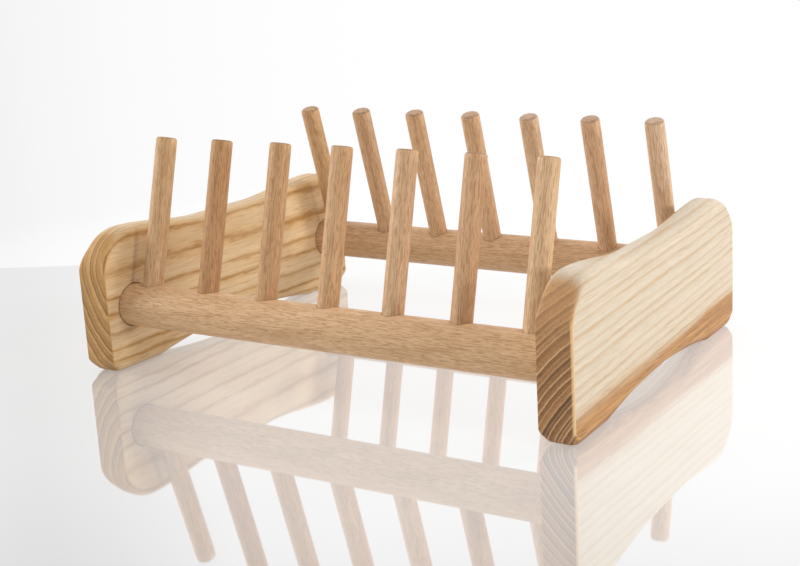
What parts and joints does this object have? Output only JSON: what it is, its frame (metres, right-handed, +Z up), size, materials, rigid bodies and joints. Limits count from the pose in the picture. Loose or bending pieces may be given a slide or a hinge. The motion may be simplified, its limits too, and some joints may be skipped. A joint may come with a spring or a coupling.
{
  "type": "plate rack",
  "caption": "Countertop wooden plate rack: waisted side boards joined by two round rails, each carrying a row of round pegs that lean inwards.",
  "frame": {"origin": "on the ground plane, under the middle of the rack", "axes": "+X along the rails from the left board to the right board, +Y to the rear, +Z up"},
  "size_m": [0.318, 0.232, 0.1354],
  "materials": {
    "board_ash": "satin oiled ash, pale cream faces with tan growth lines, darker end grain",
    "rail_beech": "satin oiled beech dowel, pinkish tan with short dark flecks along the grain",
    "peg_beech": "satin oiled beech dowel, pinkish tan, chamfered ends with greyer end grain"
  },
  "bodies": {
    "root": {"left_side_board": "board_ash", "right_side_board": "board_ash", "front_rail": "rail_beech", "rear_rail": "rail_beech", "front_peg_1": "peg_beech", "front_peg_2": "peg_beech", "front_peg_3": "peg_beech", "front_peg_4": "peg_beech", "front_peg_5": "peg_beech", "front_peg_6": "peg_beech", "front_peg_7": "peg_beech", "rear_peg_1": "peg_beech", "rear_peg_2": "peg_beech", "rear_peg_3": "peg_beech", "rear_peg_4": "peg_beech", "rear_peg_5": "peg_beech", "rear_peg_6": "peg_beech", "rear_peg_7": "peg_beech"}
  },
  "joints": []
}
